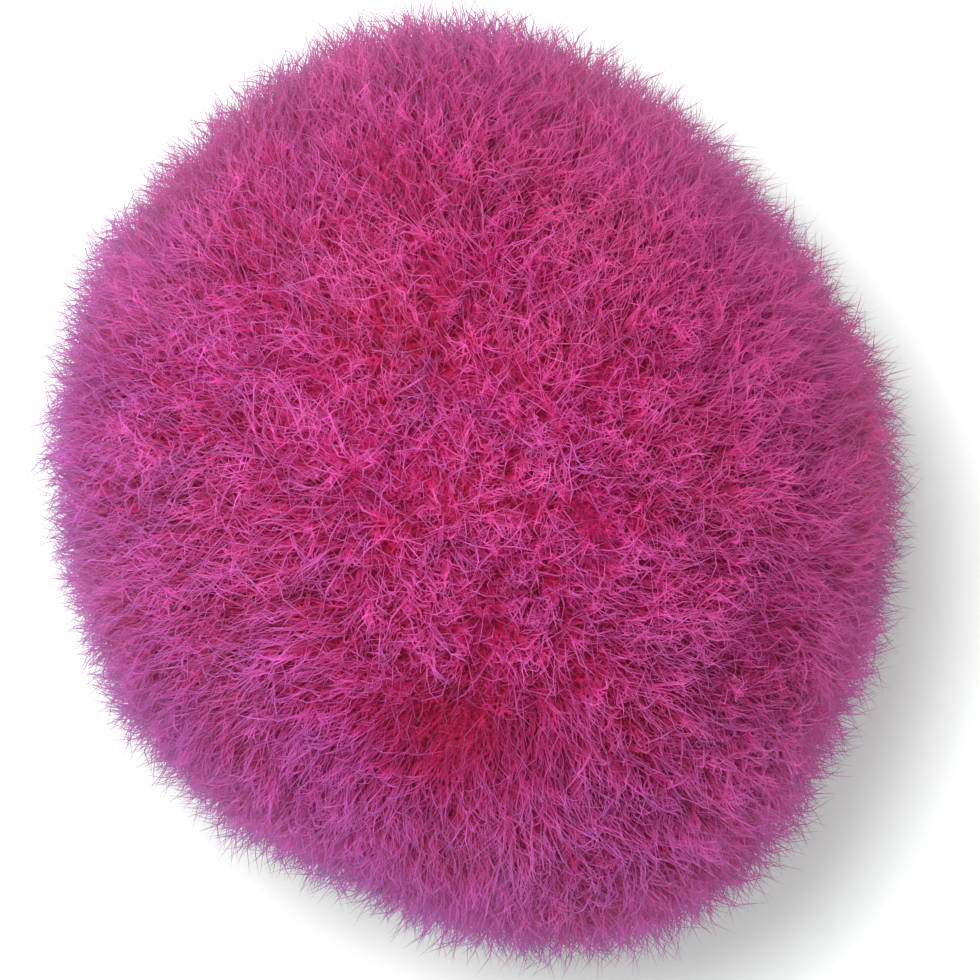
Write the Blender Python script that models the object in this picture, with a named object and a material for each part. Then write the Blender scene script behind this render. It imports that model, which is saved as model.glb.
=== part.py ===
"""Fluffy cheer pom pom: a ball of cut fibre, bound at its middle by a thread.

The pile is a bundle of fibres that runs straight through the binding and fans out on both sides
of it, so each fibre has its two cut ends on the ball's surface. The bundle is divided into locks,
each one solid shaped like a bow tie: two flared ends and a thin waist inside the binding. Metres,
+Z up. The origin is on the floor, at the middle of the ball's footprint.
"""

import math

import bpy
from mathutils import Vector

# Outer form of the pile
PILE_RADIUS = 0.0251  # mean radius, seen from above
PILE_HALF_HEIGHT = 0.0236  # from the ball's centre to its top
PRESS_DEPTH = 0.0014  # how much of the underside is pressed flat where the ball rests
OUTLINE_WAVES = (  # unevenness of the outline: waves in a turn, share of the radius, peak in degrees
    (2, 0.070, -66.0),
    (3, 0.016, -49.0),
    (4, 0.022, 15.0),
    (5, 0.018, 9.0),
    (6, 0.006, -15.0),
)

# Bundle and its binding
BUNDLE_AXIS = Vector((-0.85, 0.44, 0.30)).normalized()  # the fibres' direction inside the binding
WAIST_RADIUS = 0.0042  # the bundle where the thread squeezes it
WAIST_HALF_LENGTH = 0.00215  # the straight stretch inside the binding, on each side of the centre
PARTING_ANGLE = math.radians(88.0)  # the outermost fibres' ends, from the bundle's axis
RING_LOCKS = (1, 6, 12, 18)  # locks in the core and in each ring around it
RING_NAMES = ("core_lock", "inner_lock", "middle_lock", "outer_lock")
LOCK_SIDES = 12  # corners of a lock's cross-section
WAIST_HALF_GAP = 0.00008  # room that a lock leaves towards its neighbours, in the binding
SURFACE_HALF_GAP = 0.00017  # and at the pile's surface
LOBE_STATIONS = (0.0, 0.3, 0.55, 0.8, 1.0)  # cross-sections from the waist to the surface
STEM_REACH = (0.0080, 0.0016)  # how far fibres run on straight past the waist: core, outermost
TIP_REACH = (0.0080, 0.0105)  # how far they run straight before the surface: core, outermost

# Thread
THREAD_RADIUS = 0.00038
THREAD_GAP = 0.00025
WINDING_TURNS = 3
WINDING_PITCH = 0.00105
WINDING_STEPS = 24  # straight steps in one turn
THREAD_SIDES = 8
KNOT_LOBES = 3
KNOT_RADIUS = 0.0010  # the loops' middle line, from the knot's middle
KNOT_SWING = 0.0005  # how far the line swings in and out from there
KNOT_HEIGHT = 0.00062
KNOT_STEPS = 48
KNOT_DISTANCE = 0.0071  # the knot's middle, from the bundle's axis
KNOT_TURN = math.radians(100.0)  # the knot's place around the bundle
TAIL_START = KNOT_DISTANCE + KNOT_HEIGHT + THREAD_RADIUS + THREAD_GAP
TAIL_LENGTHS = {"thread_tail_long": 0.0098, "thread_tail_short": 0.0072}
TAIL_SPREADS = (math.radians(5.0), math.radians(21.0))  # turn away from the knot: start, cut end
TAIL_STEPS = 12

DOWN = Vector((0.0, 0.0, -1.0))
SIDE_AXIS = (DOWN - BUNDLE_AXIS * DOWN.dot(BUNDLE_AXIS)).normalized()
CROSS_AXIS = BUNDLE_AXIS.cross(SIDE_AXIS)
CENTRE_HEIGHT = PILE_HALF_HEIGHT - PRESS_DEPTH


def clear_scene():
    """Removes every object, so that the part stands alone."""
    for old in list(bpy.data.objects):
        bpy.data.objects.remove(old)


def outline_radius(turn):
    """Radius of the ball's outline in plan, at an angle from +X."""
    waves = sum(share * math.cos(count * (turn - math.radians(peak))) for count, share, peak in OUTLINE_WAVES)
    return PILE_RADIUS * (1.0 + waves)


def pile_radius(direction):
    """Distance from the ball's centre to the pile's surface. The underside is pressed flat."""
    level = math.hypot(direction.x, direction.y)
    across = outline_radius(math.atan2(direction.y, direction.x))
    rounded = 1.0 / math.sqrt((level / across) ** 2 + (direction.z / PILE_HALF_HEIGHT) ** 2)
    if direction.z >= 0.0:
        return rounded
    return min(rounded, CENTRE_HEIGHT / -direction.z)


def footprint_middle():
    """Middle of the outline's box, from the ball's centre."""
    turns = [math.radians(step) for step in range(360)]
    xs = [outline_radius(turn) * math.cos(turn) for turn in turns]
    ys = [outline_radius(turn) * math.sin(turn) for turn in turns]
    return Vector(((min(xs) + max(xs)) / 2.0, (min(ys) + max(ys)) / 2.0, 0.0))


BALL_CENTRE = Vector((0.0, 0.0, CENTRE_HEIGHT)) - footprint_middle()


def blend(core_value, outer_value, share):
    """A value between the core fibres' and the outermost fibres', by their share of the waist's area."""
    return core_value + (outer_value - core_value) * share * share


def around(turn):
    """Unit direction at right angles to the bundle."""
    return SIDE_AXIS * math.cos(turn) + CROSS_AXIS * math.sin(turn)


def fibre_point(share, turn, travel, lobe):
    """A point on the fibre that passes the waist at share of its radius.

    travel is 0 where the fibre leaves the waist and 1 at the pile's surface. lobe is +1 or -1.
    Equal areas of the waist spread over equal areas of the ball.
    """
    lean = math.acos(1.0 - share * share * (1.0 - math.cos(PARTING_ANGLE)))
    axis = BUNDLE_AXIS * lobe
    outward = around(turn)
    tip_direction = axis * math.cos(lean) + outward * math.sin(lean)
    start = axis * WAIST_HALF_LENGTH + outward * (share * WAIST_RADIUS)
    stem = start + axis * blend(*STEM_REACH, share)
    tip = tip_direction * pile_radius(tip_direction)
    neck = tip - tip_direction * blend(*TIP_REACH, share)
    rest = 1.0 - travel
    return (
        start * rest**3
        + stem * (3.0 * travel * rest**2)
        + neck * (3.0 * travel**2 * rest)
        + tip * travel**3
        + BALL_CENTRE
    )


def ring_limits():
    """Each ring's inner and outer share of the waist radius, all locks having the same area."""
    total = sum(RING_LOCKS)
    inside = 0
    limits = []
    for count in RING_LOCKS:
        limits.append((math.sqrt(inside / total), math.sqrt((inside + count) / total)))
        inside += count
    return limits


def lock_section(inner, outer, first_turn, last_turn, travel):
    """Corners of a lock's cross-section as (share, turn) pairs, drawn in from its neighbours."""
    half_gap = WAIST_HALF_GAP + (SURFACE_HALF_GAP - WAIST_HALF_GAP) * travel
    spread = WAIST_RADIUS + (1.5 * PILE_RADIUS - WAIST_RADIUS) * travel**1.5
    inset = half_gap / spread
    if inner == 0.0:
        turns = [2.0 * math.pi * step / LOCK_SIDES for step in range(LOCK_SIDES)]
        return [(outer - inset, turn) for turn in turns], (0.0, 0.0)
    steps = LOCK_SIDES // 4
    low = inner + inset
    high = outer - (inset if outer < 1.0 else 0.0)
    corners = []
    for start, end in (((low, 0.0), (low, 1.0)), ((low, 1.0), (high, 1.0)), ((high, 1.0), (high, 0.0)),
                       ((high, 0.0), (low, 0.0))):
        for step in range(steps):
            part = step / steps
            share = start[0] + (end[0] - start[0]) * part
            across = start[1] + (end[1] - start[1]) * part
            trim = inset / share
            corners.append((share, first_turn + trim + (last_turn - first_turn - 2.0 * trim) * across))
    return corners, ((low + high) / 2.0, (first_turn + last_turn) / 2.0)


def halfway(corner, middle):
    """The point midway between a section's corner and its middle."""
    if middle[0] == 0.0:
        return (corner[0] / 2.0, corner[1])
    return ((corner[0] + middle[0]) / 2.0, (corner[1] + middle[1]) / 2.0)


def lock_mesh(name, inner, outer, first_turn, last_turn):
    """One bow-tie lock: rings of corners from one cut end through the waist to the other."""
    verts = []
    faces = []
    stations = [(+1, travel) for travel in reversed(LOBE_STATIONS)] + [(-1, travel) for travel in LOBE_STATIONS]
    for lobe, travel in stations:
        corners, _ = lock_section(inner, outer, first_turn, last_turn, travel)
        verts += [fibre_point(share, turn, travel, lobe) for share, turn in corners]
    sides = LOCK_SIDES
    for row in range(len(stations) - 1):
        for side in range(sides):
            here = row * sides + side
            beside = row * sides + (side + 1) % sides
            faces.append((here, beside, beside + sides, here + sides))
    corners, middle = lock_section(inner, outer, first_turn, last_turn, 1.0)
    for lobe, rim in ((+1, 0), (-1, (len(stations) - 1) * sides)):
        mid_ring = len(verts)
        verts += [fibre_point(*halfway(corner, middle), 1.0, lobe) for corner in corners]
        verts.append(fibre_point(*middle, 1.0, lobe))
        for side in range(sides):
            beside = (side + 1) % sides
            band = (rim + beside, rim + side, mid_ring + side, mid_ring + beside)
            fan = (mid_ring + beside, mid_ring + side, mid_ring + sides)
            faces += [band, fan] if lobe > 0 else [tuple(reversed(band)), tuple(reversed(fan))]
    return closed_mesh(name, verts, faces)


def closed_mesh(name, verts, faces):
    """A mesh from points and faces, turned so that its faces point out."""
    mesh = bpy.data.meshes.new(name)
    mesh.from_pydata(verts, [], faces)
    mesh.update()
    if mesh_volume(mesh) < 0.0:
        mesh.flip_normals()
    mesh.shade_smooth()
    mesh.set_sharp_from_angle(angle=math.radians(40.0))
    return mesh


def mesh_volume(mesh):
    """Volume inside the mesh, negative if its faces point in."""
    mesh.calc_loop_triangles()
    total = 0.0
    for triangle in mesh.loop_triangles:
        a, b, c = (mesh.vertices[index].co for index in triangle.vertices)
        total += a.dot(b.cross(c)) / 6.0
    return total


def tube_mesh(name, path, radius, closed):
    """A round tube along a list of points. An open one has flat ends, a closed one joins up."""
    count = len(path)
    verts = []
    faces = []
    normal = None
    for index, point in enumerate(path):
        before = path[index - 1] if closed or index else point
        after = path[(index + 1) % count] if closed or index < count - 1 else point
        tangent = (after - before).normalized()
        if normal is None:
            normal = tangent.orthogonal().normalized()
        normal = (normal - tangent * normal.dot(tangent)).normalized()
        binormal = tangent.cross(normal)
        for side in range(THREAD_SIDES):
            turn = 2.0 * math.pi * side / THREAD_SIDES
            verts.append(point + (normal * math.cos(turn) + binormal * math.sin(turn)) * radius)
    for row in range(count if closed else count - 1):
        follow = ((row + 1) % count) * THREAD_SIDES
        for side in range(THREAD_SIDES):
            beside = (side + 1) % THREAD_SIDES
            here = row * THREAD_SIDES
            faces.append((here + side, here + beside, follow + beside, follow + side))
    if not closed:
        faces.append(tuple(reversed(range(THREAD_SIDES))))
        faces.append(tuple(range((count - 1) * THREAD_SIDES, count * THREAD_SIDES)))
    return closed_mesh(name, verts, faces)


def winding_path():
    """The thread's turns around the waist, one beside the other."""
    radius = WAIST_RADIUS + THREAD_GAP + THREAD_RADIUS
    steps = WINDING_TURNS * WINDING_STEPS
    path = []
    for step in range(steps + 1):
        turns = step / WINDING_STEPS
        along = (turns - WINDING_TURNS / 2.0) * WINDING_PITCH
        path.append(BALL_CENTRE + BUNDLE_AXIS * along + around(KNOT_TURN + 2.0 * math.pi * turns) * radius)
    return path


def knot_path():
    """The knot: the thread's overhand loop, a trefoil lying against the winding."""
    outward = around(KNOT_TURN)
    sideways = BUNDLE_AXIS.cross(outward)
    middle = BALL_CENTRE + outward * KNOT_DISTANCE
    path = []
    for step in range(KNOT_STEPS):
        turn = 2.0 * math.pi * step / KNOT_STEPS
        reach = KNOT_RADIUS + KNOT_SWING * math.cos(KNOT_LOBES * turn)
        flat = BUNDLE_AXIS * (reach * math.cos(2.0 * turn)) + sideways * (reach * math.sin(2.0 * turn))
        path.append(middle + flat + outward * (KNOT_HEIGHT * math.sin(KNOT_LOBES * turn)))
    return path


def tail_path(length, side):
    """A cut end of the thread, which runs outwards from the knot along the parting."""
    path = []
    for step in range(TAIL_STEPS + 1):
        travel = step / TAIL_STEPS
        spread = TAIL_SPREADS[0] + (TAIL_SPREADS[1] - TAIL_SPREADS[0]) * math.sin(math.pi / 2.0 * travel)
        path.append(BALL_CENTRE + around(KNOT_TURN + side * spread) * (TAIL_START + length * travel))
    return path


def finish_material(name, colour, roughness):
    """A plain dyed-fibre material."""
    material = bpy.data.materials.new(name)
    material.use_nodes = True
    shader = material.node_tree.nodes["Principled BSDF"]
    shader.inputs["Base Color"].default_value = (*colour, 1.0)
    shader.inputs["Roughness"].default_value = roughness
    shader.inputs["Metallic"].default_value = 0.0
    return material


def pile_material(name):
    """Magenta fibre of the pile."""
    return finish_material(name, (0.55, 0.045, 0.20), 0.85)


def thread_material(name):
    """Magenta thread of the binding, a little darker than the pile."""
    return finish_material(name, (0.33, 0.02, 0.12), 0.6)


def add_piece(mesh, material):
    """Links a mesh to the scene as one named piece."""
    mesh.materials.append(material)
    piece = bpy.data.objects.new(mesh.name, mesh)
    bpy.context.scene.collection.objects.link(piece)
    return piece


def build_locks():
    """The core lock and the rings of locks around it, one of them centred over the resting face."""
    for name, count, (inner, outer) in zip(RING_NAMES, RING_LOCKS, ring_limits()):
        wedge = 2.0 * math.pi / count
        for number in range(count):
            label = name if count == 1 else f"{name}_{number + 1:02d}"
            middle = wedge * number
            mesh = lock_mesh(label, inner, outer, middle - wedge / 2.0, middle + wedge / 2.0)
            add_piece(mesh, pile_material(f"{label}_fibre"))


def build_binding():
    """The winding, its knot and the thread's two cut ends."""
    winding = tube_mesh("binding_thread", winding_path(), THREAD_RADIUS, closed=False)
    add_piece(winding, thread_material("binding_thread_yarn"))
    knot = tube_mesh("binding_knot", knot_path(), THREAD_RADIUS, closed=True)
    add_piece(knot, thread_material("binding_knot_yarn"))
    for (name, length), side in zip(TAIL_LENGTHS.items(), (+1, -1)):
        tail = tube_mesh(name, tail_path(length, side), THREAD_RADIUS, closed=False)
        add_piece(tail, thread_material(f"{name}_yarn"))


def main():
    clear_scene()
    build_locks()
    build_binding()


main()
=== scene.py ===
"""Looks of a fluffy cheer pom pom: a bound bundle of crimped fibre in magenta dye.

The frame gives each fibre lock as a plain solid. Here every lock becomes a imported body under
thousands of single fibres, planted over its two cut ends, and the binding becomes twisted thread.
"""

import logging
import math
from dataclasses import dataclass, fields
from enum import Enum

import bpy
import numpy as np
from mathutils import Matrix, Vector, noise
from mathutils.bvhtree import BVHTree


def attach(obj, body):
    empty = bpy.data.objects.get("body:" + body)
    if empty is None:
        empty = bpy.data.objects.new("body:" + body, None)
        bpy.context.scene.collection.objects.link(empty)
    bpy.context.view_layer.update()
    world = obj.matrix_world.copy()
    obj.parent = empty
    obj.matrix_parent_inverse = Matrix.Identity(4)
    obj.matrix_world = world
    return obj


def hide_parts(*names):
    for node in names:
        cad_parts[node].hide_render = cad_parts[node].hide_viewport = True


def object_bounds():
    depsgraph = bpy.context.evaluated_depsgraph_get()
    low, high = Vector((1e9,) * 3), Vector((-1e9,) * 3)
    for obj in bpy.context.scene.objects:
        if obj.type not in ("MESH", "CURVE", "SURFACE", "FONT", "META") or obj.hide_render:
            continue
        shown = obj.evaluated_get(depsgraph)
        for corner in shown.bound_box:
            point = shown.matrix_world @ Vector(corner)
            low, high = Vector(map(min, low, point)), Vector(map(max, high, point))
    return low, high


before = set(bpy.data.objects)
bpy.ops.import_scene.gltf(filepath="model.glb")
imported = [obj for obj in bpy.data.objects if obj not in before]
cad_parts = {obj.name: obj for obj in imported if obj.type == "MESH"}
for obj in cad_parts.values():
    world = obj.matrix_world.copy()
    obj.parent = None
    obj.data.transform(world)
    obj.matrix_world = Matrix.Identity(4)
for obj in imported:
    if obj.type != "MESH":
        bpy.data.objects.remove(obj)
cad_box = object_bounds()

log = logging.getLogger("pom_pom")

Tree = bpy.types.NodeTree
Socket = bpy.types.NodeSocket

BODY = "root"
LOCK_WORD = "_lock"
WINDING = "binding_thread"
KNOT = "binding_knot"
BUNDLE_AXIS = (-0.85, 0.44, 0.30)  # the fibres run this way through the binding
BUMP_STRENGTH = 0.5
SHEEN_ROUGHNESS = 0.45
FIBRE_SPECULAR = 0.08
GLOW_COLOUR = (1.0, 0.7, 0.8)  # red light travels furthest through the fibre
GRAIN_SPAN = (0.3, 0.7)  # the range that most of the grain's noise lies in
GRAIN_ROUGHENING = 0.10
MIX_FIRST, MIX_SECOND, MIX_RESULT = 6, 7, 2  # the colour sockets of a mix node
STRAND_MAP = "strand"
NORMAL_LAYER = "custom_normal"
GOLDEN_TURN = math.pi * (3.0 - math.sqrt(5.0))
FLOW_OFFSETS = ((7.0, 1.0, 3.0), (22.0, 14.0, 9.0), (4.0, 31.0, 17.0))  # one noise for each direction


class Slot(Enum):
    """The record's material slots."""

    PILE = "pile_fibre"
    YARN = "binding_yarn"


class Coat(Enum):
    """The kinds of fibre that make up the pile, from the deepest to the outermost."""

    WOOL = "wool"
    TUFT = "tuft"
    LOOSE = "loose"
    FLYAWAY = "flyaway"


@dataclass(frozen=True)
class FibreCut:
    """How one kind of fibre is cut and how it lies."""

    count: int  # fibres of this kind in a tuft
    joints: int
    radius: float  # at the root, metres
    rise: float  # how far its top stands over the lock's cut face, metres
    rise_spread: float
    bend: float  # mean turn from upright at the tip, radians
    bend_spread: float
    curl: float  # radius of its curl, metres
    stray: float  # 0 lies with its tuft, 1 goes its own way


CUTS = {
    Coat.WOOL: FibreCut(1, 3, 0.000220, -0.0011, 0.0003, 1.20, 0.35, 0.00016, 0.1),
    Coat.TUFT: FibreCut(2, 4, 0.000082, 0.0000, 0.0004, 1.05, 0.40, 0.00022, 0.2),
    Coat.LOOSE: FibreCut(2, 4, 0.000056, 0.0008, 0.0005, 0.95, 0.45, 0.00028, 0.6),
    Coat.FLYAWAY: FibreCut(4, 4, 0.000036, 0.0012, 0.0008, 0.70, 0.45, 0.00028, 1.0),
}


@dataclass(frozen=True)
class Hollow:
    """A place where the pile parts: its fibres are shorter and lean away from its middle."""

    east: float  # place in plan, as shares of the ball's mean radius from its centre
    north: float
    width: float  # share of the radius
    depth: float  # metres
    push: float  # strength of the lean


HOLLOWS = (
    Hollow(-0.04, -0.60, 0.17, 0.0017, 0.8),
    Hollow(-0.20, -0.60, 0.10, 0.0011, 0.5),
    Hollow(0.29, -0.11, 0.09, 0.0008, 0.2),
    Hollow(0.03, -0.35, 0.07, 0.0009, 0.4),
    Hollow(0.40, 0.32, 0.10, 0.0009, 0.3),
    Hollow(-0.24, -0.03, 0.08, 0.0008, 0.3),
    Hollow(0.72, -0.40, 0.10, 0.0010, 0.5),
)


@dataclass(frozen=True)
class FibreFinish:
    """What every fibre finish has: its roughness and its fine grain."""

    name: str
    roughness: float
    grain_scale: float
    grain_depth: float
    bump_distance: float
    sheen: float
    sheen_tint: tuple
    glow: float  # share of the light that passes from fibre to fibre
    glow_reach: float  # how far it gets, metres

    def base(self) -> tuple[bpy.types.Material, bpy.types.Node, bpy.types.Node]:
        """Starts the material, with the roughness and bump that its grain gives.

        Returns:
            The material, its shader and its grain node.
        """
        material = bpy.data.materials.new(self.name)
        material.use_nodes = True
        tree = material.node_tree
        shader = tree.nodes["Principled BSDF"]
        grain = tree.nodes.new("ShaderNodeGroup")
        grain.node_tree = grain_group()
        grain.inputs["Scale"].default_value = self.grain_scale
        grain.inputs["Depth"].default_value = self.grain_depth
        grain.inputs["Roughness"].default_value = self.roughness
        bump = tree.nodes.new("ShaderNodeBump")
        bump.inputs["Strength"].default_value = BUMP_STRENGTH
        bump.inputs["Distance"].default_value = self.bump_distance
        tree.links.new(grain.outputs["Height"], bump.inputs["Height"])
        tree.links.new(bump.outputs["Normal"], shader.inputs["Normal"])
        tree.links.new(grain.outputs["Roughness"], shader.inputs["Roughness"])
        shader.inputs["Sheen Weight"].default_value = self.sheen
        shader.inputs["Sheen Roughness"].default_value = SHEEN_ROUGHNESS
        shader.inputs["Sheen Tint"].default_value = (*self.sheen_tint, 1.0)
        shader.inputs["Specular IOR Level"].default_value = FIBRE_SPECULAR
        shader.subsurface_method = "BURLEY"
        shader.inputs["Subsurface Weight"].default_value = self.glow
        shader.inputs["Subsurface Radius"].default_value = GLOW_COLOUR
        shader.inputs["Subsurface Scale"].default_value = self.glow_reach
        return material, shader, grain


@dataclass(frozen=True)
class DyedFibre(FibreFinish):
    """The pile's finish: soft fibre in magenta dye, with painted shade that deepens it to crimson at the
    root and a painted sheen that pales it to lavender at the tip.
    """

    name: str = "pile_fibre"
    roughness: float = 0.72
    grain_scale: float = 7000.0
    grain_depth: float = 0.08
    bump_distance: float = 0.00003
    sheen: float = 0.35
    sheen_tint: tuple = (0.90, 0.58, 1.0)
    glow: float = 1.0
    glow_reach: float = 0.0007
    # The dye's colour at each height in the pile, with painted shade darkening the root to crimson and a
    # painted sheen paling the tip to lavender
    root: tuple = (0.32, 0.007, 0.048)
    middle: tuple = (0.38, 0.020, 0.114)
    tip: tuple = (0.62, 0.084, 0.295)
    # painted bluish light: tips towards the lower left take this bluer colour
    cool_tip: tuple = (0.60, 0.120, 0.490)
    middle_span: tuple = (0.10, 0.55)  # heights over which the root's colour turns into the middle's
    tip_span: tuple = (0.55, 1.00)
    cool_side: tuple = (-0.71, -0.71, 0.0)
    cool_reach: float = 0.018  # the tips' painted bluish light fades in over this much on each side of the origin
    cloud_scale: float = 95.0
    cloud_span: tuple = (0.35, 0.65)  # the range that most of a noise lies in
    hue_swing: float = 0.008
    shade_swing: float = 0.12
    matting_scale: float = 3600.0  # the packed fibre deep in the pile is blotchy at this scale
    matting_depth: float = 0.45
    matting_span: tuple = (0.10, 0.70)  # heights over which it fades out

    def material(self) -> bpy.types.Material:
        """Builds the material.

        Returns:
            The finished material.
        """
        material, shader, grain = self.base()
        tree = material.node_tree
        strand = tree.nodes.new("ShaderNodeUVMap")
        strand.uv_map = STRAND_MAP
        parts = tree.nodes.new("ShaderNodeSeparateXYZ")
        tree.links.new(strand.outputs["UV"], parts.inputs["Vector"])
        chance, height = parts.outputs["X"], parts.outputs["Y"]
        # The height in the pile lays painted shade deep down and a painted sheen on the tips, over the
        # dye's colour.
        lower = ranged(tree, height, self.middle_span, (0.0, 1.0))
        upper = ranged(tree, height, self.tip_span, (0.0, 1.0))
        fibre_colour = mix_colour(tree, lower, self.root, self.middle)
        # Painted bluish light: the tips turn bluer towards the lower left.
        across = (-self.cool_reach, self.cool_reach)
        painted_bluish_light = ranged(tree, self.toward(tree, self.cool_side), across, (0.0, 1.0))
        fibre_colour = mix_colour(tree, upper, fibre_colour, mix_colour(tree, painted_bluish_light, self.tip, self.cool_tip))
        cloud = noise_field(tree, self.cloud_scale, 2.0)
        hue = ranged(tree, cloud, self.cloud_span, (0.5 - self.hue_swing, 0.5 + self.hue_swing))
        shade = ranged(tree, chance, (0.0, 1.0), (1.0 - self.shade_swing, 1.0 + self.shade_swing))
        shade = scaled_sum(tree, shade, grain.outputs["Shade"])
        matted = self.matting(tree, height, shade)
        varied = tree.nodes.new("ShaderNodeHueSaturation")
        tree.links.new(hue, varied.inputs["Hue"])
        tree.links.new(matted, varied.inputs["Value"])
        tree.links.new(fibre_colour, varied.inputs["Color"])
        tree.links.new(varied.outputs["Color"], shader.inputs["Base Color"])
        return material

    def matting(self, tree: Tree, height: Socket, shade: Socket) -> Socket:
        """Adds the uneven light and dark of packed fibre, which fades out towards the tips.

        Args:
            tree: The material's node tree.
            height: Each place's height in the pile.
            shade: Its brightness so far.

        Returns:
            The brightness with the matting in it.
        """
        depth = ranged(tree, height, self.matting_span, (self.matting_depth, 0.0))
        swing = ranged(tree, noise_field(tree, self.matting_scale, 2.0), self.cloud_span, (-1.0, 1.0))
        return scaled_sum(tree, scaled_sum(tree, swing, depth, 1.0), shade)

    def toward(self, tree: Tree, heading: tuple) -> Socket:
        """Measures how far each place lies in a direction.

        Args:
            tree: The material's node tree.
            heading: The direction, of length one.

        Returns:
            The distance from the origin, in metres.
        """
        place = tree.nodes.new("ShaderNodeTexCoord")
        measure = tree.nodes.new("ShaderNodeVectorMath")
        measure.operation = "DOT_PRODUCT"
        measure.inputs[1].default_value = heading
        tree.links.new(place.outputs["Object"], measure.inputs[0])
        return measure.outputs["Value"]


@dataclass(frozen=True)
class SpunYarn(FibreFinish):
    """The binding thread's finish: twisted plies, a little darker than the pile."""

    name: str = "binding_yarn"
    roughness: float = 0.60
    grain_scale: float = 5200.0
    grain_depth: float = 0.18
    bump_distance: float = 0.00004
    sheen: float = 0.20
    sheen_tint: tuple = (1.0, 0.80, 0.95)
    glow: float = 0.3
    glow_reach: float = 0.0002
    deep: tuple = (0.20, 0.010, 0.06)
    pale: tuple = (0.42, 0.035, 0.17)
    wear_scale: float = 900.0
    wear_span: tuple = (0.30, 0.70)

    def material(self) -> bpy.types.Material:
        """Builds the material.

        Returns:
            The finished material.
        """
        material, shader, grain = self.base()
        tree = material.node_tree
        worn = ranged(tree, noise_field(tree, self.wear_scale, 3.0), self.wear_span, (0.0, 1.0))
        fibre_colour = mix_colour(tree, worn, self.deep, self.pale)
        varied = tree.nodes.new("ShaderNodeHueSaturation")
        tree.links.new(grain.outputs["Shade"], varied.inputs["Value"])
        tree.links.new(fibre_colour, varied.inputs["Color"])
        tree.links.new(varied.outputs["Color"], shader.inputs["Base Color"])
        return material


def grain_group() -> Tree:
    """Builds the shared group for the fine unevenness of spun and crimped fibre.

    Returns:
        The node group, made once.
    """
    name = "Fibre grain"
    if name in bpy.data.node_groups:
        return bpy.data.node_groups[name]
    group = bpy.data.node_groups.new(name, "ShaderNodeTree")
    for label in ("Scale", "Depth", "Roughness"):
        group.interface.new_socket(name=label, in_out="INPUT", socket_type="NodeSocketFloat")
    for label in ("Shade", "Roughness", "Height"):
        group.interface.new_socket(name=label, in_out="OUTPUT", socket_type="NodeSocketFloat")
    given = group.nodes.new("NodeGroupInput")
    result = group.nodes.new("NodeGroupOutput")
    speckle = noise_field(group, given.outputs["Scale"], 1.0)
    swing = ranged(group, speckle, GRAIN_SPAN, (-1.0, 1.0))
    shade = scaled_sum(group, swing, given.outputs["Depth"], 1.0)
    rough = scaled_sum(group, swing, GRAIN_ROUGHENING, given.outputs["Roughness"])
    group.links.new(shade, result.inputs["Shade"])
    group.links.new(rough, result.inputs["Roughness"])
    group.links.new(speckle, result.inputs["Height"])
    return group


def feed(tree: Tree, socket: Socket, source: object) -> None:
    """Sets an input from a socket, a colour or a number.

    Args:
        tree: The node tree.
        socket: The input.
        source: What goes into it.
    """
    if isinstance(source, Socket):
        tree.links.new(source, socket)
    elif isinstance(source, tuple):
        socket.default_value = (*source, 1.0)
    else:
        socket.default_value = source


def noise_field(tree: Tree, scale: object, detail: float) -> Socket:
    """Adds a noise over the piece's own coordinates.

    Args:
        tree: The node tree that gets the nodes.
        scale: The noise's scale, a number or a socket.
        detail: Its detail.

    Returns:
        The noise's socket.
    """
    place = tree.nodes.new("ShaderNodeTexCoord")
    field = tree.nodes.new("ShaderNodeTexNoise")
    field.inputs["Detail"].default_value = detail
    feed(tree, field.inputs["Scale"], scale)
    tree.links.new(place.outputs["Object"], field.inputs["Vector"])
    return field.outputs["Fac"]


def scaled_sum(tree: Tree, value: Socket, factor: object, base: object = 0.0) -> Socket:
    """Works out value times factor plus base.

    Args:
        tree: The node tree that gets the node.
        value: The value's socket.
        factor: What it is multiplied by, a number or a socket.
        base: What is added, a number or a socket.

    Returns:
        The result's socket.
    """
    node = tree.nodes.new("ShaderNodeMath")
    node.operation = "MULTIPLY_ADD"
    tree.links.new(value, node.inputs[0])
    feed(tree, node.inputs[1], factor)
    feed(tree, node.inputs[2], base)
    return node.outputs[0]


def ranged(tree: Tree, source: Socket, span: tuple[float, float], reach: tuple[float, float]) -> Socket:
    """Maps a value from one range to another, and clamps it there.

    Args:
        tree: The node tree that gets the node.
        source: The value's socket.
        span: The range that the value comes from.
        reach: The range that it is mapped to.

    Returns:
        The mapped value's socket.
    """
    node = tree.nodes.new("ShaderNodeMapRange")
    node.inputs["From Min"].default_value, node.inputs["From Max"].default_value = span
    node.inputs["To Min"].default_value, node.inputs["To Max"].default_value = reach
    tree.links.new(source, node.inputs["Value"])
    return node.outputs["Result"]


def mix_colour(tree: Tree, share: Socket, first: object, second: object) -> Socket:
    """Mixes two colours.

    Args:
        tree: The node tree that gets the node.
        share: The socket that says how much of the second colour shows.
        first: The first colour, as numbers or a socket.
        second: The second colour.

    Returns:
        The mixed colour's socket.
    """
    mix = tree.nodes.new("ShaderNodeMix")
    mix.data_type = "RGBA"
    tree.links.new(share, mix.inputs[0])
    feed(tree, mix.inputs[MIX_FIRST], first)
    feed(tree, mix.inputs[MIX_SECOND], second)
    return mix.outputs[MIX_RESULT]


def deselect_all() -> None:
    """Leaves object mode clean, with nothing selected."""
    if bpy.context.object and bpy.context.object.mode != "OBJECT":
        bpy.ops.object.mode_set(mode="OBJECT")
    bpy.ops.object.select_all(action="DESELECT")


def activate(piece: bpy.types.Object) -> None:
    """Selects one object alone and makes it active."""
    deselect_all()
    piece.select_set(True)
    bpy.context.view_layer.objects.active = piece


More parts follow.
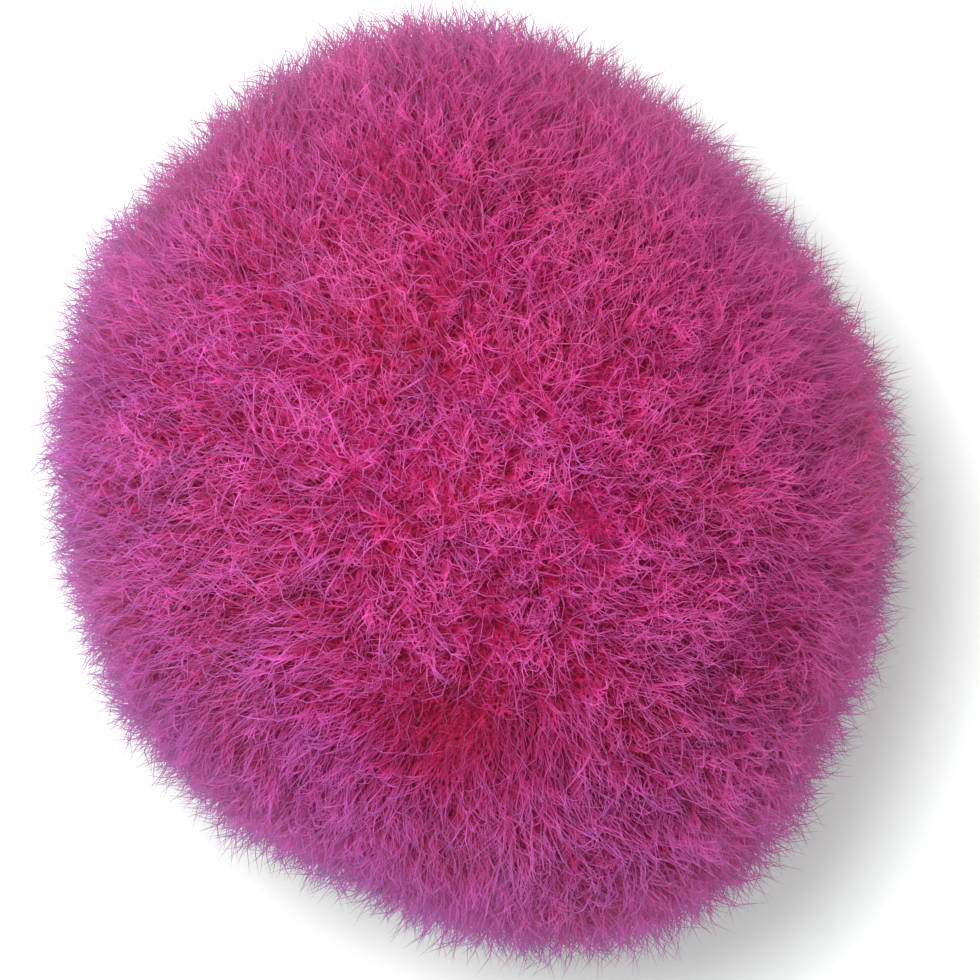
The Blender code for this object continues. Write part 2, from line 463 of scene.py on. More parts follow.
def unit(vectors: np.ndarray) -> np.ndarray:
    """Scales each row to length one."""
    return vectors / np.maximum(np.linalg.norm(vectors, axis=-1, keepdims=True), 1e-12)


def along_surface(vectors: np.ndarray, normals: np.ndarray) -> np.ndarray:
    """Takes the part of each vector that runs at right angles to its normal."""
    return vectors - normals * np.sum(vectors * normals, axis=-1, keepdims=True)


def corner_mean(name: str) -> np.ndarray:
    """Finds the middle of a node as the mean of its distinct corners."""
    corners = np.array([corner.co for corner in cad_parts[name].data.vertices])
    return np.unique(np.round(corners, 6), axis=0).mean(axis=0)


@dataclass
class Strands:
    """A batch of fibres of one kind: one row for each fibre, one column for each station."""

    points: np.ndarray
    side: np.ndarray
    radius: np.ndarray
    chance: np.ndarray
    height: np.ndarray
    lock: np.ndarray

    def of_lock(self, number: int) -> "Strands":
        """Picks out the fibres of one lock."""
        mine = self.lock == number
        return Strands(*(getattr(self, column.name)[mine] for column in fields(self)))


@dataclass
class Skin:
    """A mesh in the making: corners, faces as loops and sizes, and what the finish reads."""

    corners: np.ndarray
    normals: np.ndarray
    loops: np.ndarray
    sizes: np.ndarray
    chance: np.ndarray
    height: np.ndarray


@dataclass
class FibreForm:
    """One fibre as it comes off the roll: a straight, closed, three-sided spike of unit length."""

    joints: int
    buried: float = 0.30  # the share up to its first joint, which doesn't show
    taper: float = 0.45

    def __post_init__(self) -> None:
        """Spaces the joints, closer where the fibre shows, and models the spike."""
        self.stations = np.concatenate([[0.0], np.linspace(self.buried, 1.0, self.joints)])
        self.numbers, self.across, self.faces = self.spike()

    def spike(self) -> tuple[np.ndarray, np.ndarray, list[tuple[int, ...]]]:
        """Models the spike and reads it back.

        Returns:
            Each corner's station number, its unit place across the fibre, and the faces.
        """
        deselect_all()
        middle = (0.0, 0.0, 0.5)
        bpy.ops.mesh.primitive_cone_add(vertices=3, radius1=1.0, radius2=0.0, depth=1.0, location=middle)
        spike = bpy.context.object
        bpy.ops.object.mode_set(mode="EDIT")
        for station in self.stations[1:-1]:
            bpy.ops.mesh.select_all(action="SELECT")
            bpy.ops.mesh.bisect(plane_co=(0.0, 0.0, station), plane_no=(0.0, 0.0, 1.0))
        bpy.ops.object.mode_set(mode="OBJECT")
        points = np.array([spike.matrix_world @ corner.co for corner in spike.data.vertices])
        faces = [tuple(face.vertices) for face in spike.data.polygons]
        bpy.data.meshes.remove(spike.data)
        numbers = np.abs(points[:, 2:3] - self.stations[None, :]).argmin(axis=1)
        across = points[:, :2]
        reach = np.linalg.norm(across, axis=1, keepdims=True)
        across = np.where(reach > 1e-6, across / np.maximum(reach, 1e-6), 0.0)
        return numbers, across, faces

    def wrap(self, strands: Strands, centre: np.ndarray, softness: float) -> Skin:
        """Bends a copy of the spike around each fibre's middle line.

        Args:
            strands: The fibres.
            centre: The ball's centre.
            softness: How far the shading follows the ball's surface instead of the single fibre.

        Returns:
            All the fibres' corners and faces.
        """
        points = strands.points
        heading = unit(np.gradient(points, axis=1))
        side = strands.side[:, None, :]
        first = unit(along_surface(side, heading))
        second = np.cross(heading, first)
        numbers = self.numbers
        thick = strands.radius[:, None] * (1.0 - self.taper * self.stations[numbers] ** 2)[None, :]
        outward = (
            first[:, numbers] * self.across[None, :, 0, None]
            + second[:, numbers] * self.across[None, :, 1, None]
        )
        corners = (points[:, numbers] + thick[:, :, None] * outward).reshape(-1, 3)
        ball = unit(corners - centre)
        count, each = len(points), len(numbers)
        flat = np.concatenate([np.array(face) for face in self.faces])
        loops = (np.arange(count)[:, None] * each + flat[None, :]).reshape(-1)
        return Skin(
            corners=corners,
            normals=unit(softness * ball + (1.0 - softness) * outward.reshape(-1, 3)),
            loops=loops,
            sizes=np.tile([len(face) for face in self.faces], count),
            chance=np.repeat(strands.chance, each),
            height=strands.height[:, numbers].reshape(-1),
        )


@dataclass(frozen=True)
class Habit:
    """How far a fibre goes its tuft's way, and how it bends, curls and grows."""

    tuft_lean: float = 0.9  # how strongly a tuft leans its own way
    own_lean: float = 0.2  # how strongly each fibre does
    stray_lean: float = 1.3  # and how much more when it strays
    own_spread: float = 0.8  # a fibre's place in its tuft, in tuft spreads
    stray_spread: float = 0.8
    own_phase: float = 0.2  # how far its curl is out of step with its tuft's
    stray_phase: float = 2.0
    own_shade: float = 0.10
    tuft_bend: float = 0.8  # the shares of its bend that its tuft and itself decide
    own_bend: float = 0.6
    least_bend: float = 0.05
    most_bend: float = 1.8
    bend_power: float = 1.6  # over 1, the bend gathers towards the tip
    least_rise: float = 0.3  # how upright even the most bent fibre counts for its length
    least_length: float = 0.3  # in root depths
    most_length: float = 1.9
    root_dip: float = 0.7  # how far the roots follow a dip
    curl_start: float = 0.1  # where along the fibre its curl begins
    curl_fade: float = 0.4
    curl_detune: float = 0.9  # the second direction's curl is this much slower
    gather_power: float = 1.2


@dataclass
class Pile:
    """The whole pile: where fibres stand, how they lean, and the locks that they belong to."""

    tufts: int = 9800
    tuft_spread: float = 0.00030  # fibres' spread around their tuft's middle, at the root
    tuft_pull: float = 0.60  # how much closer together a tuft's tips are than its roots
    lift_limit: float = 1.8  # the most that a fibre's height strays, in spreads
    curl_length: float = 0.0021  # one wave of the curl
    root_depth: float = 0.0036  # roots lie this far under the cut faces
    body_depth: float = 0.0024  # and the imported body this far
    body_swell: float = 0.00042  # how far the body's sides close in on its neighbours'
    seam_reach: float = 0.0014  # sides this near the seam between the halves close over it
    seam_fade: float = 0.0010
    seam_overlap: float = 0.0002
    seam_onset: float = 1.0 / 6.0  # and only this far out, as the share of the body's whole change
    seam_onset_fade: float = 1.0 / 3.0
    dye_depth: float = 0.0034  # the colour is at its deepest, with the most painted shade, this far under the cut faces
    dye_rise: float = 0.0013  # and at its palest, with the most painted sheen, this far over them
    body_dip: float = 0.8  # how far the body follows a dip
    body_onset: int = 3  # power of the distance from the binding by which all this sets in
    body_chance: float = 0.3
    ripple_scale: float = 420.0
    ripple_height: float = 0.0004
    end_facing: float = 0.6  # a lock's face is a cut end when it faces outwards this squarely
    end_reach: float = 0.8  # and lies this far out, as a share of the ball's mean radius
    scatter: float = 0.010  # how unevenly the tufts stand, radians
    shade_spread: float = 0.22
    curl_spread: tuple = (0.75, 1.3)
    swirl_scale: float = 3.1  # of the slow turns in how the pile lies
    swirl: float = 1.1
    cut_waves: tuple = ((5.3, 0.0007), (12.0, 0.0004))  # each unevenness of the cut: scale and height
    parting_reach: float = 2.4  # how much further a hollow's lean reaches than its dip
    splay: float = 0.8  # how far a fibre slides outwards for each bit that the floor lifts it
    softness: float = 0.60
    floor_gap: float = 0.00010
    seed: int = 11
    habit: Habit = Habit()
    finish: DyedFibre = DyedFibre()

    def __post_init__(self) -> None:
        """Reads the ball's centre, size and cut ends from the frame."""
        self.centre = corner_mean(WINDING)
        self.locks = sorted(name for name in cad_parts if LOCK_WORD in name)
        ball_low, ball_high = (np.array(corner) for corner in cad_box)
        self.mean_radius = float((ball_high - ball_low)[:2].mean() / 2.0)
        self.tree, self.face_lock = self.cut_ends()

    def cut_ends(self) -> tuple[BVHTree, list[int]]:
        """Collects the faces of all locks that lie on the ball's surface.

        Returns:
            A search tree of those faces, and each face's lock.
        """
        points = []
        faces = []
        owners = []
        for number, name in enumerate(self.locks):
            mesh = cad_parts[name].data
            for face in mesh.polygons:
                middle = np.array(face.center) - self.centre
                reach = float(np.linalg.norm(middle))
                facing = float(np.dot(middle / reach, face.normal))
                if facing < self.end_facing or reach < self.end_reach * self.mean_radius:
                    continue
                start = len(points)
                points += [mesh.vertices[index].co.copy() for index in face.vertices]
                faces.append(tuple(range(start, len(points))))
                owners.append(number)
        return BVHTree.FromPolygons(points, faces), owners

    def plant(self, rng: np.random.Generator) -> None:
        """Spreads the tufts evenly over the ball, each on the lock whose cut end it stands on.

        Args:
            rng: The source of chance.
        """
        step = np.arange(self.tufts) + 0.5
        height = 1.0 - 2.0 * step / self.tufts
        turn = step * GOLDEN_TURN
        level = np.sqrt(1.0 - height**2)
        directions = np.stack([level * np.cos(turn), level * np.sin(turn), height], axis=1)
        self.directions = unit(directions + rng.normal(scale=self.scatter, size=directions.shape))
        self.radii = np.empty(self.tufts)
        self.owners = np.empty(self.tufts, int)
        start = Vector(self.centre)
        for number, direction in enumerate(self.directions):
            heading = Vector(direction)
            hit, _, index, reach = self.tree.ray_cast(start, heading)
            if hit is None:
                hit, _, index, _ = self.tree.find_nearest(start + heading * self.mean_radius)
                reach = (hit - start).length
            self.radii[number] = reach
            self.owners[number] = self.face_lock[index]
        self.flow, self.dip = self.lie(self.directions)
        self.lean = unit(rng.normal(size=(self.tufts, 3)))
        self.lift = rng.normal(size=self.tufts)
        self.bend = rng.normal(size=self.tufts)
        self.phase = rng.uniform(0.0, 2.0 * math.pi, size=(2, self.tufts))
        self.wave = self.curl_length / rng.uniform(*self.curl_spread, size=self.tufts)
        self.chance = 0.5 + self.shade_spread * rng.normal(size=self.tufts)

    def lie(self, directions: np.ndarray) -> tuple[np.ndarray, np.ndarray]:
        """Works out how the pile lies at each place.

        Args:
            directions: Unit directions from the ball's centre.

        Returns:
            The lean at each place, a vector along the surface, and how much the pile is cut short.
        """
        flow = np.empty_like(directions)
        dip = np.zeros(len(directions))
        for number, direction in enumerate(directions):
            spot = Vector(direction)
            place = spot * self.swirl_scale
            flow[number] = [noise.noise(place + Vector(offset)) for offset in FLOW_OFFSETS]
            dip[number] = sum(height * noise.noise(spot * scale) for scale, height in self.cut_waves)
        flow *= self.swirl
        for hollow in HOLLOWS:
            across = hollow.east**2 + hollow.north**2
            middle = np.array([hollow.east, hollow.north, math.sqrt(max(0.0, 1.0 - across))])
            away = directions - middle
            distance = np.linalg.norm(away, axis=1)
            near = np.exp(-((distance / hollow.width) ** 2))
            wide = np.exp(-((distance / (self.parting_reach * hollow.width)) ** 2))
            dip += hollow.depth * near
            lean = hollow.push * wide[:, None] * unit(away)
            flow += lean * np.minimum(distance / hollow.width, 1.0)[:, None]
        return along_surface(flow, directions), dip

    def grow(self, cut: FibreCut, form: FibreForm, rng: np.random.Generator) -> Strands:
        """Grows every fibre of one kind.

        Args:
            cut: How the kind is cut.
            form: Its straight fibre.
            rng: The source of chance.

        Returns:
            The fibres.
        """
        habit = self.habit
        count = self.tufts * cut.count
        tuft = np.repeat(np.arange(self.tufts), cut.count)
        own_lean = unit(rng.normal(size=(count, 3))) * (habit.own_lean + habit.stray_lean * cut.stray)
        lean = self.flow[tuft] + habit.tuft_lean * self.lean[tuft] + own_lean
        jitter = rng.normal(size=(count, 3)) * (self.tuft_spread / self.mean_radius)
        jitter *= habit.own_spread + habit.stray_spread * cut.stray
        heading = unit(self.directions[tuft] + jitter)
        lean = unit(along_surface(lean, heading))
        side = np.cross(heading, lean)

        together = 1.0 - cut.stray
        uneven = together * self.lift[tuft] + math.sqrt(1.0 - together**2) * rng.normal(size=count)
        uneven = np.clip(uneven, -self.lift_limit, self.lift_limit)
        top = self.radii[tuft] - self.dip[tuft] + cut.rise + cut.rise_spread * uneven
        bend = habit.tuft_bend * self.bend[tuft] + habit.own_bend * rng.normal(size=count)
        turn_end = np.clip(cut.bend + cut.bend_spread * bend, habit.least_bend, habit.most_bend)
        stations = form.stations
        steps = np.diff(stations)
        halfway = (stations[1:] + stations[:-1]) / 2.0
        angles = turn_end[:, None] * halfway[None, :] ** habit.bend_power
        none = np.zeros((count, 1))
        up = np.concatenate([none, np.cumsum(np.cos(angles) * steps, axis=1)], axis=1)
        out = np.concatenate([none, np.cumsum(np.sin(angles) * steps, axis=1)], axis=1)
        base = self.radii[tuft] - habit.root_dip * self.dip[tuft] - self.root_depth
        length = (top - base) / np.maximum(up.max(axis=1), habit.least_rise)
        shortest, longest = habit.least_length * self.root_depth, habit.most_length * self.root_depth
        length = np.clip(length, shortest, longest)[:, None]

        out_of_step = habit.own_phase + habit.stray_phase * cut.stray
        phase = self.phase[:, tuft] + rng.normal(size=(2, count)) * out_of_step
        turns = 2.0 * math.pi * length * stations[None, :] / self.wave[tuft][:, None]
        swing = cut.curl * np.clip((stations - habit.curl_start) / habit.curl_fade, 0.0, 1.0)[None, :]
        wave_a = swing * np.sin(turns + phase[0][:, None])
        wave_b = swing * np.sin(habit.curl_detune * turns + phase[1][:, None])
        gather = (heading - self.directions[tuft]) * self.radii[tuft][:, None]
        pull = self.tuft_pull * together * stations[None, :] ** habit.gather_power
        points = (
            self.centre
            + heading[:, None, :] * (base[:, None] + length * up)[:, :, None]
            + lean[:, None, :] * (length * out + wave_a)[:, :, None]
            + side[:, None, :] * wave_b[:, :, None]
            - gather[:, None, :] * pull[:, :, None]
        )
        points = self.rest_on_floor(points, heading, cut.radius)
        reach = np.linalg.norm(points - self.centre, axis=2)
        # Each place's height in the pile, which the finish turns into painted shade deep down and a
        # painted sheen at the tips.
        height = (reach - self.radii[tuft][:, None] + self.dye_depth) / (self.dye_depth + self.dye_rise)
        chance = self.chance[tuft] + habit.own_shade * rng.normal(size=count)
        return Strands(
            points=points,
            side=side,
            radius=np.full(count, cut.radius),
            chance=np.clip(chance, 0.0, 1.0),
            height=np.clip(height, 0.0, 1.0),
            lock=self.owners[tuft],
        )

    def rest_on_floor(self, points: np.ndarray, heading: np.ndarray, radius: float) -> np.ndarray:
        """Lays the fibres that would reach under the floor flat on it, splayed outwards.

        Args:
            points: Every fibre's middle line.
            heading: Every fibre's direction from the centre.
            radius: The fibres' radius.

        Returns:
            The middle lines, none lower than the floor.
        """
        level = heading.copy()
        level[:, 2] = 0.0
        lowest = self.floor_gap + radius
        under = np.maximum(lowest - points[:, :, 2], 0.0)
        points = points + unit(level)[:, None, :] * (self.splay * under)[:, :, None]
        points[:, :, 2] = np.maximum(points[:, :, 2], lowest)
        return points

    def body(self, name: str) -> Skin:
        """Takes the lock's own solid, merged, pulled in under its fibres and roughened.

        Args:
            name: The lock's node.

        Returns:
            Its corners and faces.
        """
        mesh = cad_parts[name].data.copy()
        piece = bpy.data.objects.new(f"{name}_body", mesh)
        bpy.context.scene.collection.objects.link(piece)
        activate(piece)
        bpy.ops.object.mode_set(mode="EDIT")
        bpy.ops.mesh.select_all(action="SELECT")
        bpy.ops.mesh.remove_doubles(threshold=1e-6)
        bpy.ops.object.mode_set(mode="OBJECT")
        smooth = piece.modifiers.new("round", "SUBSURF")
        smooth.subdivision_type = "SIMPLE"
        smooth.levels = 1
        smooth.render_levels = 1
        bpy.ops.object.modifier_apply(modifier=smooth.name)
        points = np.array([corner.co for corner in mesh.vertices]) - self.centre
        normals = np.array([corner.normal for corner in mesh.vertices])
        faces = [tuple(face.vertices) for face in mesh.polygons]
        bpy.data.meshes.remove(mesh)
        reach = np.linalg.norm(points, axis=1, keepdims=True)
        outward = points / reach
        share = np.clip(reach / self.mean_radius, 0.0, 1.0) ** self.body_onset
        _, dip = self.lie(outward)
        ripple = np.array([noise.noise(Vector(point) * self.ripple_scale) for point in points])
        depth = self.body_depth + self.body_dip * dip - self.ripple_height * ripple
        points -= outward * share * depth[:, None]
        points += along_surface(normals, outward) * share * self.body_swell
        points += self.close_seam(points, share) + self.centre
        points[:, 2] = np.maximum(points[:, 2], 2.0 * self.floor_gap)
        # Height zero gives the body the root's colour, with its painted shade.
        return Skin(
            corners=points,
            normals=unit(self.softness * outward * share + normals * (1.0 - self.softness * share)),
            loops=np.concatenate([np.array(face) for face in faces]),
            sizes=np.array([len(face) for face in faces]),
            chance=np.full(len(points), self.body_chance),
            height=np.zeros(len(points)),
        )

    def close_seam(self, points: np.ndarray, share: np.ndarray) -> np.ndarray:
        """Works out how a body closes over the seam where the bundle's two halves meet.

        Args:
            points: The body's corners, from the ball's centre.
            share: How near each of them is to the ball's surface, 0 to 1.

        Returns:
            Each corner's move, along the bundle's axis.
        """
        axis = unit(np.array(BUNDLE_AXIS))
        distance = (points @ axis)[:, None]
        near = np.clip((self.seam_reach + self.seam_fade - np.abs(distance)) / self.seam_fade, 0.0, 1.0)
        near *= np.clip((share - self.seam_onset) / self.seam_onset_fade, 0.0, 1.0)
        return -axis * near * (distance + np.sign(distance) * self.seam_overlap)

    def weave(self, name: str, skins: list[Skin]) -> bpy.types.Object:
        """Makes one lock: its body and all its fibres in one mesh.

        Args:
            name: The lock's node.
            skins: The body and the fibres.

        Returns:
            The finished piece.
        """
        starts = np.concatenate([[0], np.cumsum([len(skin.corners) for skin in skins])[:-1]])
        loops = np.concatenate([skin.loops + start for skin, start in zip(skins, starts)])
        corners, normals, sizes, chance, height = (
            np.concatenate([getattr(skin, part) for skin in skins])
            for part in ("corners", "normals", "sizes", "chance", "height")
        )
        mesh = bpy.data.meshes.new(name)
        mesh.vertices.add(len(corners))
        mesh.vertices.foreach_set("co", corners.astype(np.float32).reshape(-1))
        mesh.loops.add(len(loops))
        mesh.loops.foreach_set("vertex_index", loops.astype(np.int32))
        mesh.polygons.add(len(sizes))
        loop_starts = np.concatenate([[0], np.cumsum(sizes)[:-1]])
        mesh.polygons.foreach_set("loop_start", loop_starts.astype(np.int32))
        mesh.update(calc_edges=True)
        mesh.validate()
        strand = mesh.uv_layers.new(name=STRAND_MAP)
        read = np.stack([chance[loops], height[loops]], axis=1)
        strand.data.foreach_set("uv", read.astype(np.float32).reshape(-1))
        mesh.shade_smooth()
        soft = mesh.attributes.new(NORMAL_LAYER, "FLOAT_VECTOR", "POINT")
        soft.data.foreach_set("vector", normals.astype(np.float32).reshape(-1))
        piece = bpy.data.objects.new(f"{name}_pile", mesh)
        bpy.context.scene.collection.objects.link(piece)
        return piece

    def build(self) -> None:
        """Builds and dresses all locks."""
        rng = np.random.default_rng(self.seed)
        self.plant(rng)
        forms = {cut: FibreForm(cut.joints) for cut in CUTS.values()}
        grown = {cut: self.grow(cut, form, rng) for cut, form in forms.items()}
        material = self.finish.material()
        for number, name in enumerate(self.locks):
            skins = [self.body(name)]
            for cut, form in forms.items():
                skins.append(form.wrap(grown[cut].of_lock(number), self.centre, self.softness))
            piece = self.weave(name, skins)
            piece.data.materials.append(material)
            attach(piece, BODY)
            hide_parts(name)
            log.info("%s: %d faces", name, len(piece.data.polygons))


@dataclass
class Binding:
    """The thread that ties the bundle at its waist: the winding, its knot and two cut ends."""

    coil_radius: float = 0.00483  # the thread's middle line, from the bundle's axis
    pitch: float = 0.00105
    turns: int = 3
    lead: float = math.radians(26.0)  # the turn over which an end of the winding rises to the knot
    knot_turn: float = math.radians(100.0)  # the knot's place around the bundle
    knot_distance: float = 0.0071
    knot_lobes: int = 3
    knot_radius: float = 0.0010
    knot_swing: float = 0.0005
    knot_height: float = 0.00062
    tail_start: float = 0.00835
    tail_lengths: tuple = (("thread_tail_long", 0.0098), ("thread_tail_short", 0.0072))
    tail_spreads: tuple = (math.radians(5.0), math.radians(21.0))
    thread_radius: float = 0.00038
    plies: int = 3
    ply_radius: float = 0.000176
    twist_length: float = 0.0022
    fray_length: float = 0.0016  # the stretch at a cut end where the plies come apart
    fray_spread: float = 1.5
    fray_thinning: float = 0.5
    ring_points: int = 96  # points for each turn of the winding, and in the knot
    tail_points: int = 48
    lead_power: float = 1.5  # over 1, the rise to the knot starts slowly
    lead_gather: float = 0.6  # how far the winding's ends come together at the knot
    start_tilt: float = 0.3  # keeps a cross direction where a route sets off along the bundle
    finish: SpunYarn = SpunYarn()

    def __post_init__(self) -> None:
        """Sets up the directions that every route is drawn in."""
        self.centre = corner_mean(WINDING)
        self.axis = unit(np.array(BUNDLE_AXIS))
        self.down = unit(along_surface(np.array((0.0, 0.0, -1.0)), self.axis))
        self.cross = np.cross(self.axis, self.down)

    def around(self, turn: np.ndarray) -> np.ndarray:
        """Gives the directions at right angles to the bundle, at each turn."""
        turn = np.atleast_1d(turn)[:, None]
        return self.down * np.cos(turn) + self.cross * np.sin(turn)

    def winding(self) -> np.ndarray:
        """Draws the turns around the waist. Both ends rise towards the knot."""
        half = math.pi * self.turns
        turn = np.linspace(-half - self.lead, half + self.lead, self.ring_points * self.turns)
        past = np.clip((np.abs(turn) - half) / self.lead, 0.0, 1.0) ** self.lead_power
        rise = past * (self.knot_distance - self.knot_height - self.coil_radius)
        travel = np.clip(turn, -half, half) / (2.0 * math.pi) * self.pitch
        travel *= 1.0 - self.lead_gather * past
        places = self.around(self.knot_turn + half + turn) * (self.coil_radius + rise)[:, None]
        return self.centre + self.axis * travel[:, None] + places

    def knot(self) -> np.ndarray:
        """Draws the overhand knot, a trefoil that lies against the winding."""
        outward = self.around(self.knot_turn)[0]
        sideways = np.cross(self.axis, outward)
        turn = np.linspace(0.0, 2.0 * math.pi, self.ring_points, endpoint=False)[:, None]
        reach = self.knot_radius + self.knot_swing * np.cos(self.knot_lobes * turn)
        flat = self.axis * (reach * np.cos(2.0 * turn)) + sideways * (reach * np.sin(2.0 * turn))
        rise = self.knot_distance + self.knot_height * np.sin(self.knot_lobes * turn)
        return self.centre + flat + outward * rise

    def tail(self, length: float, way: int) -> np.ndarray:
        """Draws a cut end, which runs outwards from the knot.

        Args:
            length: The end's length.
            way: The side that it turns to, +1 or -1.

        Returns:
            The route's points.
        """
        travel = np.linspace(0.0, 1.0, self.tail_points)
        first, last = self.tail_spreads
        spread = first + (last - first) * np.sin(math.pi / 2.0 * travel)
        reach = self.tail_start + length * travel
        return self.centre + self.around(self.knot_turn + way * spread) * reach[:, None]

    def frames(self, route: np.ndarray, closed: bool) -> tuple[np.ndarray, np.ndarray, np.ndarray]:
        """Carries a pair of cross directions along a route without turning them.

        Args:
            route: The route's points.
            closed: Whether its end meets its start.

        Returns:
            Both directions at each point, and the distance travelled to it.
        """
        ahead = np.roll(route, -1, axis=0)
        if not closed:
            ahead[-1] = 2.0 * route[-1] - route[-2]
        heading = unit(ahead - route)
        first = np.empty_like(route)
        carried = unit(np.cross(heading[0], self.axis + self.start_tilt * self.cross))
        for number, direction in enumerate(heading):
            carried = unit(along_surface(carried, direction))
            first[number] = carried
        steps = np.linalg.norm(ahead - route, axis=1)
        travel = np.concatenate([[0.0], np.cumsum(steps)])
        if closed:
            last = along_surface(carried, heading[0])
            beside = float(np.dot(np.cross(first[0], last), heading[0]))
            slip = math.atan2(beside, float(np.dot(first[0], last)))
            share = (travel[:-1] / travel[-1])[:, None]
            first = first * np.cos(slip * share) - np.cross(heading, first) * np.sin(slip * share)
        return first, np.cross(heading, first), travel

    def spin(self, name: str, route: np.ndarray, closed: bool = False, frayed: bool = False) -> None:
        """Twists the plies around a route, joins them into one piece and dresses it.

        Args:
            name: The thread's node.
            route: The thread's middle line.
            closed: Whether its end meets its start.
            frayed: Whether its end is cut and comes apart.
        """
        first, second, travel = self.frames(route, closed)
        twist = 2.0 * math.pi * travel / self.twist_length
        if closed:
            twist *= round(twist[-1] / (2.0 * math.pi)) * 2.0 * math.pi / twist[-1]
        travel = travel[: len(route)]
        twist = twist[: len(route)]
        left = travel[-1] - travel
        fray = np.clip(1.0 - left / self.fray_length, 0.0, 1.0) ** 2 * frayed
        reach = (self.thread_radius - self.ply_radius) * (1.0 + self.fray_spread * fray)
        thickness = 1.0 - self.fray_thinning * fray
        strands = []
        for ply in range(self.plies):
            angle = twist + 2.0 * math.pi * ply / self.plies
            across = first * np.cos(angle)[:, None] + second * np.sin(angle)[:, None]
            middle_line = route + across * reach[:, None]
            strands.append(self.ply(f"{name}_ply_{ply}", middle_line, thickness, closed))
        deselect_all()
        for strand in strands:
            strand.select_set(True)
        bpy.context.view_layer.objects.active = strands[0]
        bpy.ops.object.convert(target="MESH")
        bpy.ops.object.join()
        piece = bpy.context.object
        piece.name = f"{name}_yarn"
        piece.data.shade_smooth()
        piece.data.materials.clear()
        piece.data.materials.append(self.material)
        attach(piece, BODY)
        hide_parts(name)
        log.info("%s: %d faces", name, len(piece.data.polygons))

    def ply(self, name: str, points: np.ndarray, thickness: np.ndarray, closed: bool) -> bpy.types.Object:
        """Makes one ply as a round curve.

        Args:
            name: The ply's name.
            points: Its middle line.
            thickness: Its radius at each point, as a share of the full one.
            closed: Whether its end meets its start.

        Returns:
            The curve's object.
        """
        data = bpy.data.curves.new(name, "CURVE")
        data.dimensions = "3D"
        data.bevel_depth = self.ply_radius
        data.bevel_resolution = 1
        data.use_fill_caps = True
        spline = data.splines.new("POLY")
        spline.points.add(len(points) - 1)
        spline.points.foreach_set("co", np.column_stack([points, np.ones(len(points))]).reshape(-1))
        spline.points.foreach_set("radius", thickness)
        spline.use_cyclic_u = closed
        strand = bpy.data.objects.new(name, data)
        bpy.context.scene.collection.objects.link(strand)
        return strand

    def build(self) -> None:
        """Builds and dresses the winding, the knot and both cut ends."""
        self.material = self.finish.material()
        self.spin(WINDING, self.winding())
        self.spin(KNOT, self.knot(), closed=True)
        for (name, length), way in zip(self.tail_lengths, (1, -1)):
            self.spin(name, self.tail(length, way), frayed=True)


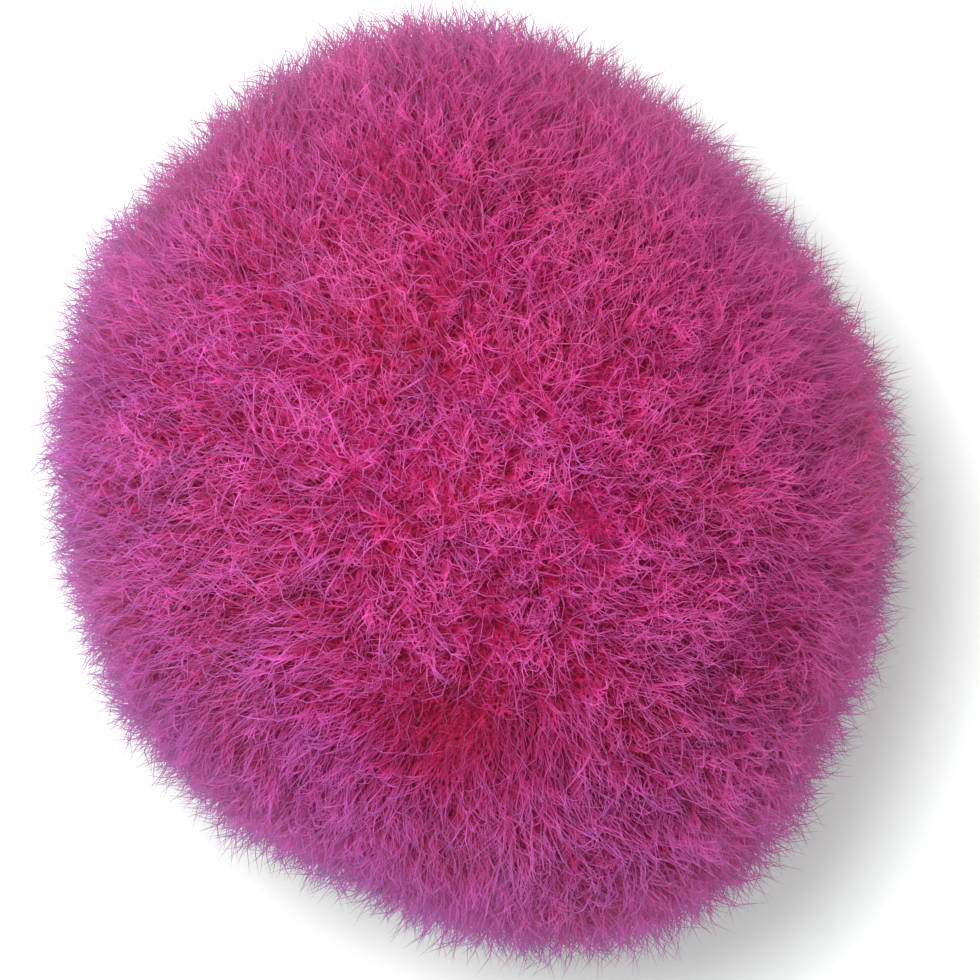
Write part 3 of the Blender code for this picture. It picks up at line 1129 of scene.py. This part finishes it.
@dataclass(frozen=True)
class Studio:
    """A pale floor, soft light from the upper left, and a camera that looks straight down."""

    floor_size: float = 1.6
    floor_colour: tuple = (0.89, 0.94, 0.905)
    floor_roughness: float = 0.9
    floor_specular: float = 0.1
    view_width: float = 0.0581  # what the view's width takes in, at the ball's middle
    camera_height: float = 0.55
    camera_east: float = 0.0009
    camera_north: float = -0.0003
    sensor: float = 36.0
    key_power: float = 2.7
    key_size: float = 0.19
    key_distance: float = 0.55
    key_lean: float = math.radians(13.5)
    key_turn: float = math.radians(135.0)
    sky_colour: tuple = (0.97, 0.98, 1.0)
    sky: float = 0.62  # the room's light from overhead
    horizon: float = 1.15  # and from the walls
    wall_height: float = 0.8  # how far up the walls' light fades, as the sine of the angle

    def build(self) -> None:
        """Sets up the floor, the lights and the camera."""
        self.floor()
        self.key_light()
        self.sky_light()
        self.camera()

    def floor(self) -> None:
        """Lays the floor."""
        deselect_all()
        bpy.ops.mesh.primitive_plane_add(size=self.floor_size, location=(0.0, 0.0, 0.0))
        floor = bpy.context.object
        floor.name = "floor"
        material = bpy.data.materials.new("floor_paper")
        material.use_nodes = True
        shader = material.node_tree.nodes["Principled BSDF"]
        shader.inputs["Base Color"].default_value = (*self.floor_colour, 1.0)
        shader.inputs["Roughness"].default_value = self.floor_roughness
        shader.inputs["Specular IOR Level"].default_value = self.floor_specular
        floor.data.materials.append(material)

    def key_light(self) -> None:
        """Hangs the large soft lamp."""
        lamp = bpy.data.lights.new("key", "AREA")
        lamp.shape = "DISK"
        lamp.size = self.key_size
        lamp.energy = self.key_power
        piece = bpy.data.objects.new("key", lamp)
        bpy.context.scene.collection.objects.link(piece)
        level = math.sin(self.key_lean) * self.key_distance
        piece.location = (
            level * math.cos(self.key_turn),
            level * math.sin(self.key_turn),
            math.cos(self.key_lean) * self.key_distance,
        )
        piece.rotation_euler = (-piece.location).to_track_quat("-Z", "Y").to_euler()

    def sky_light(self) -> None:
        """Fills the room with soft light, brighter from its walls than from overhead."""
        world = bpy.data.worlds.new("studio")
        world.use_nodes = True
        tree = world.node_tree
        background = tree.nodes["Background"]
        background.inputs["Color"].default_value = (*self.sky_colour, 1.0)
        place = tree.nodes.new("ShaderNodeTexCoord")
        parts = tree.nodes.new("ShaderNodeSeparateXYZ")
        tree.links.new(place.outputs["Generated"], parts.inputs["Vector"])
        fade = ranged(tree, parts.outputs["Z"], (0.0, self.wall_height), (self.horizon, self.sky))
        tree.links.new(fade, background.inputs["Strength"])
        bpy.context.scene.world = world
        bpy.context.scene.view_settings.view_transform = "Standard"

    def camera(self) -> None:
        """Hangs the camera over the ball."""
        low, high = (Vector(corner) for corner in cad_box)
        middle = (low + high) / 2.0
        data = bpy.data.cameras.new("camera")
        data.sensor_width = self.sensor
        data.lens = self.sensor * (self.camera_height - middle.z) / self.view_width
        data.clip_start = 0.01
        data.clip_end = 10.0
        camera = bpy.data.objects.new("camera", data)
        bpy.context.scene.collection.objects.link(camera)
        camera.location = (middle.x + self.camera_east, middle.y + self.camera_north, self.camera_height)
        bpy.context.scene.camera = camera


def main() -> None:
    """Builds the pile and the studio, and notes the sizes."""
    logging.basicConfig(level=logging.INFO, format="%(message)s")
    Studio().build()
    Binding().build()
    Pile().build()


if __name__ == "__main__":
    main()
